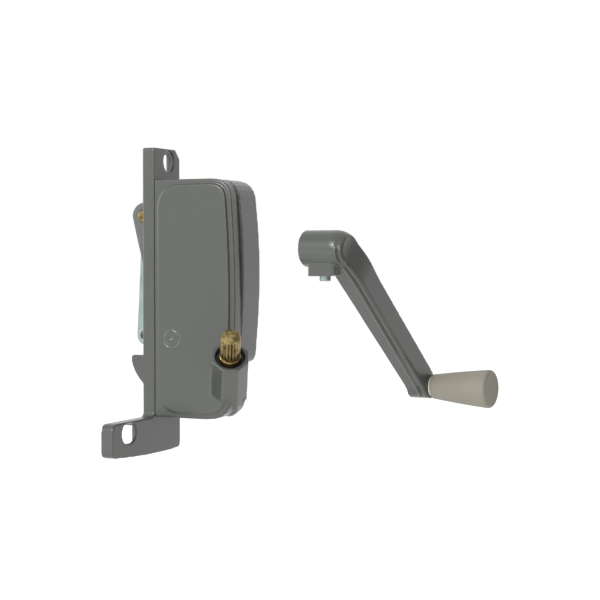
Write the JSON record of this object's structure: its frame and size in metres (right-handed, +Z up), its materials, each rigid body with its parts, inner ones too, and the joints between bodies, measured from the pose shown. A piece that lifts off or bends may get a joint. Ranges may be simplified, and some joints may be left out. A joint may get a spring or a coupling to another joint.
{
  "type": "awning window operator with crank handle",
  "caption": "Face-fixed awning window operator: cast gear housing on an eared plate, angled splined stud, rear lever and link, with a separate crank handle.",
  "frame": {"origin": "on the flat back of the plate, on the plate's vertical centre line, level with the lower ear's screw hole", "axes": "+X into the room, away from the window frame; +Z up along the plate; -Y towards the cover and the stud"},
  "size_m": [0.166, 0.1031, 0.1456],
  "materials": {
    "grey_paint": "satin enamel over die-cast metal",
    "cast_zinc": "dull cast surface",
    "zinc_plate": "bright zinc plate",
    "yellow_zinc": "yellow passivated zinc plate",
    "plain_steel": "plain steel",
    "bronze": "sintered bronze",
    "black_rubber": "matt rubber",
    "nylon": "natural nylon",
    "knob_plastic": "moulded warm grey plastic"
  },
  "bodies": {
    "housing": {"housing_base": "grey_paint", "housing_cover": "grey_paint", "cover_screw_1": "zinc_plate", "cover_screw_2": "zinc_plate", "cover_screw_3": "zinc_plate", "cover_screw_4": "zinc_plate", "lever_pivot_pin": "plain_steel", "shaft_bushing": "bronze", "shaft_seal": "black_rubber", "end_bushing": "bronze", "pivot_washer_near": "nylon", "pivot_washer_far": "nylon"},
    "worm": {"worm_shaft": "yellow_zinc", "thrust_washer": "plain_steel"},
    "lever": {"drive_lever": "cast_zinc", "lever_bushing": "bronze", "link_rivet": "yellow_zinc"},
    "link": {"operating_link": "zinc_plate", "link_eyelet": "plain_steel", "link_washer": "nylon"},
    "crank": {"crank_handle": "grey_paint", "set_screw": "zinc_plate", "knob_spindle": "plain_steel"},
    "knob": {"knob": "knob_plastic", "knob_washer": "nylon"}
  },
  "joints": [
    {"name": "crank_turn", "type": "hinge", "parent": "housing", "child": "crank", "pos_m": [0.0866, -0.0127, 0.0854], "axis": [-0.9945, 0.1045, 0], "range_deg": [0, 1620]},
    {"name": "worm_spin", "type": "hinge", "parent": "housing", "child": "worm", "pos_m": [0.047, -0.0127, 0.027], "axis": [-0.3591, 0.6399, -0.6794], "range_deg": [0, 1620]},
    {"name": "lever_swing", "type": "hinge", "parent": "housing", "child": "lever", "pos_m": [0.0233, -0.0045, 0.02839], "axis": [0, -1, 0], "range_deg": [0, 64.8]},
    {"name": "link_swing", "type": "hinge", "parent": "lever", "child": "link", "pos_m": [-0.0022, -0.0005, 0.1012], "axis": [0, 1, 0], "range_deg": [0, 64.8]},
    {"name": "knob_spin", "type": "hinge", "parent": "crank", "child": "knob", "pos_m": [0.12604, 0.04686, 0.0198], "axis": [0.9945, -0.1045, 0], "continuous": true}
  ],
  "couplings": [
    {"joint": "worm_spin", "follows": "crank_turn", "ratio": 1},
    {"joint": "lever_swing", "follows": "crank_turn", "ratio": 0.04},
    {"joint": "link_swing", "follows": "crank_turn", "ratio": 0.04}
  ]
}
